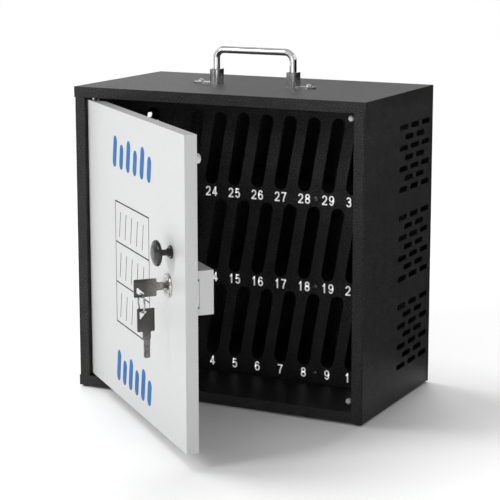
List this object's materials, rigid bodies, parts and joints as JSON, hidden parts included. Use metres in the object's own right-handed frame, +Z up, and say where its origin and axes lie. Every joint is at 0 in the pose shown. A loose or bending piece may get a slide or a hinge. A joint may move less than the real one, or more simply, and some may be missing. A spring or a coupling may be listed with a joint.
{
  "type": "phone locker cabinet",
  "caption": "Steel phone locker box with tiers of leaning numbered slots behind one hinged door with a key lock and knob, side vents and a folding carrying handle.",
  "frame": {"origin": "centre of the cabinet's footprint, in the plane of the base rim; the four pads reach 2 mm below it", "axes": "+Z up, +Y from the front to the back panel, +X to the right as seen from the front"},
  "size_m": [0.4, 0.4549, 0.4405],
  "materials": {
    "cabinet_coat": "fine textured powder coat, matt",
    "door_coat": "smooth powder coat, satin",
    "buffer_white": "moulded, matt",
    "pad_rubber": "matt",
    "bright_steel": "zinc plated, satin",
    "handle_chrome": "polished",
    "bracket_steel": "nickel plated, satin",
    "knob_black": "moulded, satin",
    "lock_nickel": "nickel plated",
    "key_steel": "nickel plated, worn",
    "ring_steel": "bright wire"
  },
  "bodies": {
    "cabinet": {"top_panel": "cabinet_coat", "bottom_panel": "cabinet_coat", "side_panel_left": "cabinet_coat", "side_panel_right": "cabinet_coat", "back_panel": "cabinet_coat", "jamb_left": "cabinet_coat", "jamb_right": "cabinet_coat", "rack_front_lower": "cabinet_coat", "rack_front_middle": "cabinet_coat", "rack_front_upper": "cabinet_coat", "shelf_lower": "cabinet_coat", "shelf_middle": "cabinet_coat", "shelf_upper": "cabinet_coat", "rack_comb_lower": "cabinet_coat", "rack_comb_middle": "cabinet_coat", "rack_comb_upper": "cabinet_coat", "rack_screws": "bright_steel", "stop_buffers": "buffer_white", "base_pads": "pad_rubber", "hinge_pins": "bright_steel", "hinge_washer": "bright_steel", "handle_bracket_left": "bracket_steel", "handle_bracket_right": "bracket_steel", "handle_pivots": "bright_steel", "handle_screws": "bright_steel", "handle_nuts": "bright_steel"},
    "handle": {"handle_bar": "handle_chrome"},
    "door": {"door_panel": "door_coat", "hinge_tabs": "bright_steel", "door_buffer": "buffer_white", "knob": "knob_black", "knob_screw": "bright_steel", "lock_body": "lock_nickel", "lock_nut": "bright_steel", "lock_housing": "door_coat", "bolt_guide": "bright_steel"},
    "plug": {"lock_plug": "lock_nickel", "cam_lever": "bright_steel", "cam_screw": "bright_steel"},
    "bolt": {"lock_bolt": "bright_steel"},
    "key": {"key_in_lock": "key_steel"},
    "ring": {"key_ring": "ring_steel"},
    "spare": {"spare_key": "key_steel"}
  },
  "joints": [
    {"name": "door_hinge", "type": "hinge", "parent": "cabinet", "child": "door", "pos_m": [-0.1743, -0.104, 0.195], "axis": [0, 0, -1], "range_deg": [-41.5, 68.5]},
    {"name": "lock_turn", "type": "hinge", "parent": "door", "child": "plug", "pos_m": [0.04626, -0.30715, 0.197], "axis": [0.6626, 0.749, 0], "range_deg": [0, 90]},
    {"name": "bolt_slide", "type": "slide", "parent": "door", "child": "bolt", "axis": [0.749, -0.6626, 0], "range_m": [0, 0.014]},
    {"name": "key_pull", "type": "slide", "parent": "plug", "child": "key", "axis": [-0.6626, -0.749, 0], "range_m": [0, 0.024]},
    {"name": "ring_swing", "type": "hinge", "parent": "key", "child": "ring", "pos_m": [0.02512, -0.33104, 0.1902], "axis": [-0.749, 0.6626, 0], "range_deg": [-8, 60]},
    {"name": "spare_key_swing", "type": "hinge", "parent": "ring", "child": "spare", "pos_m": [0.02512, -0.33104, 0.1684], "axis": [-0.749, 0.6626, 0], "range_deg": [-8, 45]},
    {"name": "handle_fold", "type": "hinge", "parent": "cabinet", "child": "handle", "pos_m": [0, 0, 0.397], "axis": [-1, 0, 0], "range_deg": [0, 90]}
  ],
  "couplings": [
    {"joint": "bolt_slide", "follows": "lock_turn", "m_per_rad": 0.008912}
  ]
}
